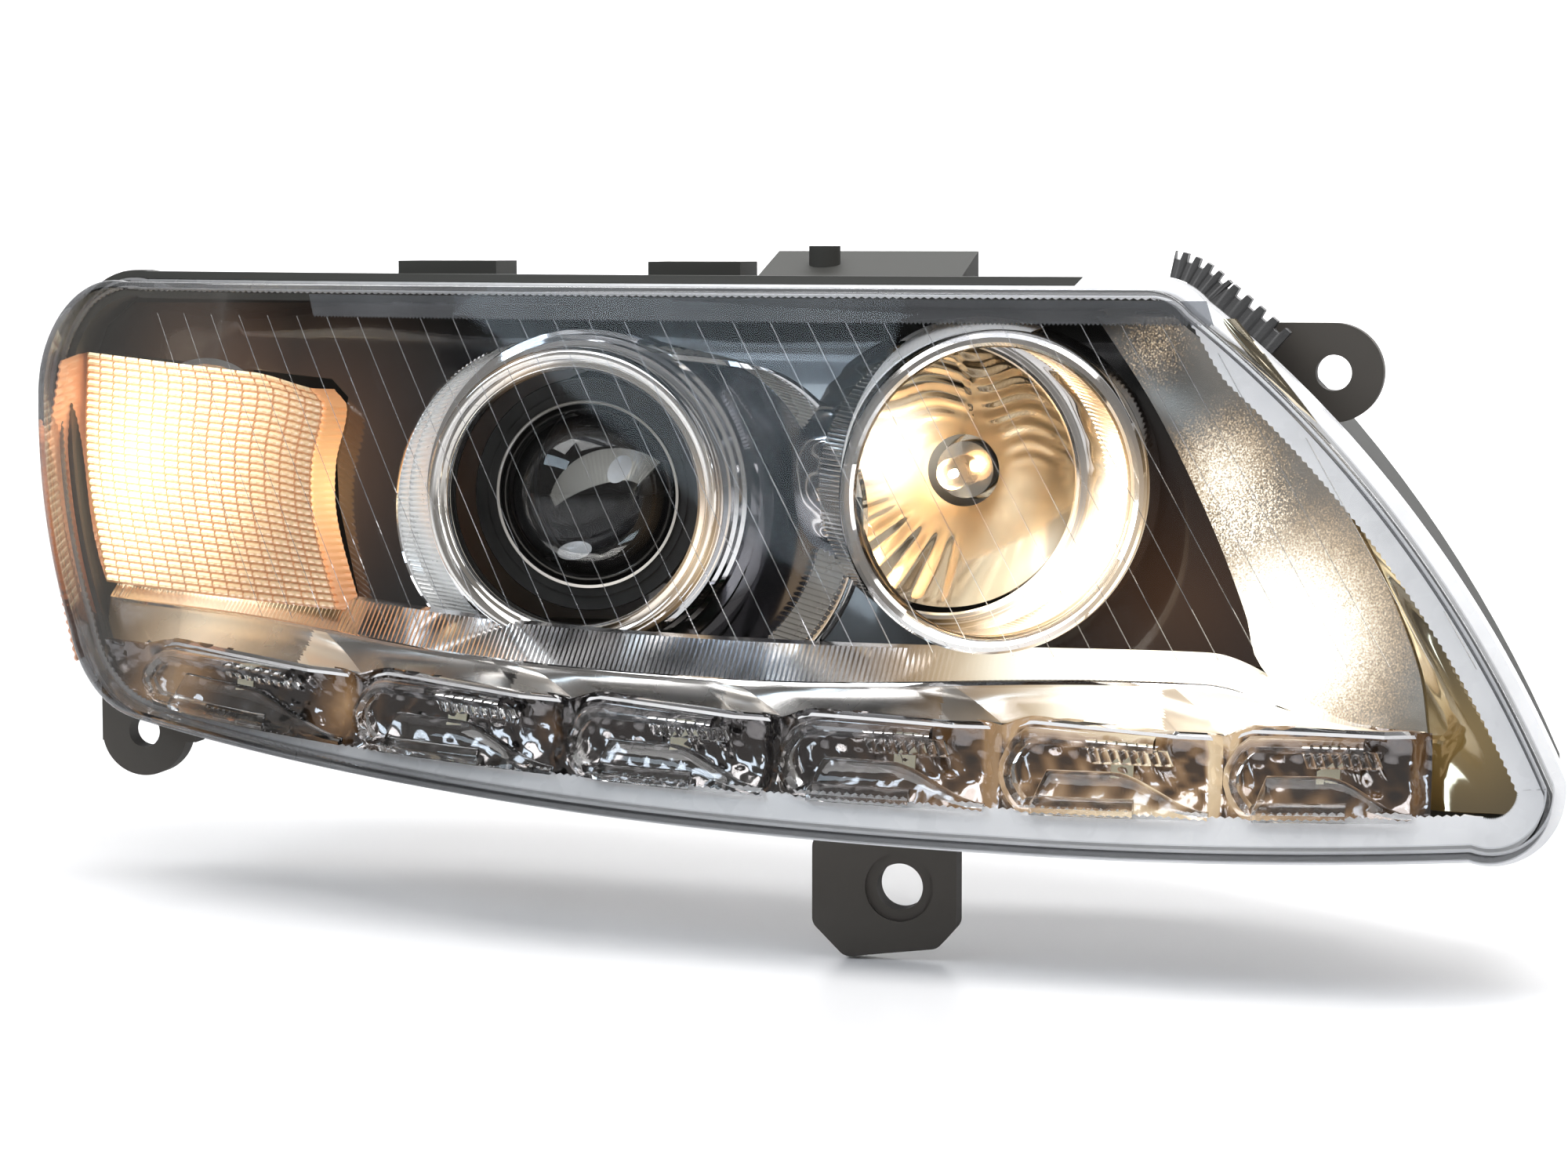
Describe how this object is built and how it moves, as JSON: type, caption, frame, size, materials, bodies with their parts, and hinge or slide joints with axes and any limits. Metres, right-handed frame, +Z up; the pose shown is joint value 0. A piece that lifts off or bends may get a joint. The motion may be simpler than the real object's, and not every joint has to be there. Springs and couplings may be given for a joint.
{
  "type": "car headlight assembly",
  "caption": "Wrap-around car headlamp with clear cover, projector low beam, reflector high beam, side turn signal and a strip of running lights.",
  "frame": {"origin": "centre of the bolt hole in the lower mounting ear, halfway through the ear", "axes": "+X towards the middle of the car, +Y towards the back of the car, +Z up"},
  "size_m": [0.6428, 0.3411, 0.2613],
  "materials": {
    "clear_cover": "clear moulded polycarbonate, hard coated",
    "black_housing": "grained black polypropylene",
    "brown_black": "dark glass-filled plastic",
    "grey_plastic": "light grey plastic",
    "gloss_black": "polished black trim",
    "chrome": "vacuum metallised, bright",
    "satin_metal": "metallised over a fine sandblasted texture",
    "optic_glass": "polished optical glass",
    "bulb_glass": "quartz glass",
    "amber_glass": "amber glass",
    "prism_plastic": "clear ribbed light guide",
    "steel": "zinc plated",
    "cast_metal": "die cast",
    "white_plastic": "natural nylon",
    "rubber": "soft sealing rubber",
    "seal_glue": "butyl bead",
    "circuit_board": "green circuit board",
    "led_body": "phosphor over a white body",
    "brass": "tinned brass"
  },
  "bodies": {
    "lamp_housing": {"housing": "black_housing", "cover_lens": "clear_cover", "lens_seal": "seal_glue", "lower_mount_ear": "brown_black", "outer_mount_ear": "brown_black", "upper_mount_ear": "brown_black", "corner_strip": "black_housing", "side_strip": "grey_plastic", "top_cover": "black_housing", "inner_bezel": "gloss_black", "projector_shroud": "gloss_black", "projector_ring": "chrome", "high_beam_ring": "chrome", "satin_panel": "satin_metal", "mirror_wall": "chrome", "trim_strip": "chrome", "light_guides": "prism_plastic", "light_tray": "satin_metal", "running_leds": "led_body", "running_light_board": "circuit_board", "turn_optic": "prism_plastic", "turn_reflector": "chrome", "pivot_stud": "steel", "leveling_motor": "black_housing", "connector_socket": "black_housing", "connector_pins": "brass", "vent_cap": "black_housing"},
    "swivel": {"pivot_block": "white_plastic"},
    "carrier": {"carrier_frame": "cast_metal", "spindle_clip": "white_plastic", "nut_clip": "white_plastic", "projector_lens": "optic_glass", "lens_retainer": "steel", "lens_holder": "cast_metal", "low_beam_reflector": "cast_metal", "projector_screws": "steel", "low_beam_bulb": "bulb_glass", "low_beam_base": "steel", "low_beam_terminals": "black_housing", "clip_lugs": "steel", "shutter_bracket": "steel", "solenoid": "steel", "high_beam_reflector": "chrome", "high_beam_bulb": "bulb_glass", "high_beam_base": "steel", "high_beam_terminals": "black_housing"},
    "clip": {"bulb_clip": "steel"},
    "shutter": {"shutter_blade": "steel"},
    "plunger": {"plunger": "steel"},
    "spindle": {"leveling_spindle": "steel"},
    "vertical_adjuster": {"vertical_adjuster": "white_plastic"},
    "lateral_screw": {"lateral_screw": "steel"},
    "ball_nut": {"ball_nut": "white_plastic"},
    "turn_socket": {"turn_socket": "rubber", "turn_bulb": "amber_glass"},
    "low_cap": {"low_beam_cap": "black_housing", "low_cap_gasket": "rubber"},
    "high_cap": {"high_beam_cap": "black_housing", "high_cap_gasket": "rubber"}
  },
  "joints": [
    {"name": "lateral_aim", "type": "hinge", "parent": "lamp_housing", "child": "swivel", "pos_m": [-0.215, 0.142, 0.195], "axis": [0, 0, 1], "range_deg": [-1.5, 1.5]},
    {"name": "beam_tilt", "type": "hinge", "parent": "swivel", "child": "carrier", "pos_m": [-0.215, 0.142, 0.195], "axis": [1, 0, 0], "range_deg": [-3, 3]},
    {"name": "spindle_slide", "type": "slide", "parent": "lamp_housing", "child": "spindle", "axis": [0, 1, 0], "range_m": [-0.006, 0.006]},
    {"name": "vertical_adjuster_turn", "type": "hinge", "parent": "lamp_housing", "child": "vertical_adjuster", "pos_m": [-0.229, 0.2483, 0.092], "axis": [0, 1, 0], "range_deg": [-760, 760]},
    {"name": "lateral_screw_turn", "type": "hinge", "parent": "lamp_housing", "child": "lateral_screw", "pos_m": [0.075, 0.185, 0.195], "axis": [0, 1, 0], "range_deg": [-930, 930]},
    {"name": "nut_slide", "type": "slide", "parent": "lamp_housing", "child": "ball_nut", "axis": [0, 1, 0], "range_m": [-0.008, 0.008]},
    {"name": "shutter_flip", "type": "hinge", "parent": "carrier", "child": "shutter", "pos_m": [-0.138, 0.13, 0.101], "axis": [1, 0, 0], "range_deg": [0, 30], "stiffness_Nm_per_rad": 0.01, "springref_deg": -34.38},
    {"name": "plunger_slide", "type": "slide", "parent": "carrier", "child": "plunger", "axis": [0, 1, 0], "range_m": [0, 0.0045]},
    {"name": "bulb_clip_swing", "type": "hinge", "parent": "carrier", "child": "clip", "pos_m": [-0.138, 0.2033, 0.113], "axis": [-1, 0, 0], "range_deg": [0, 60]},
    {"name": "turn_socket_twist", "type": "hinge", "parent": "lamp_housing", "child": "turn_socket", "pos_m": [-0.32, 0.228, 0.138], "axis": [0, 1, 0], "range_deg": [0, 45]},
    {"name": "low_cap_twist", "type": "hinge", "parent": "lamp_housing", "child": "low_cap", "pos_m": [-0.138, 0.228, 0.135], "axis": [0, 1, 0], "range_deg": [0, 40]},
    {"name": "high_cap_twist", "type": "hinge", "parent": "lamp_housing", "child": "high_cap", "pos_m": [0.003, 0.185, 0.144], "axis": [0, 1, 0], "range_deg": [0, 40]}
  ],
  "couplings": [
    {"joint": "spindle_slide", "follows": "beam_tilt", "m_per_rad": 0.111},
    {"joint": "vertical_adjuster_turn", "follows": "beam_tilt", "ratio": 232.48},
    {"joint": "nut_slide", "follows": "lateral_aim", "m_per_rad": 0.29},
    {"joint": "lateral_screw_turn", "follows": "lateral_aim", "ratio": 607.38},
    {"joint": "plunger_slide", "follows": "shutter_flip", "m_per_rad": 0.008}
  ]
}
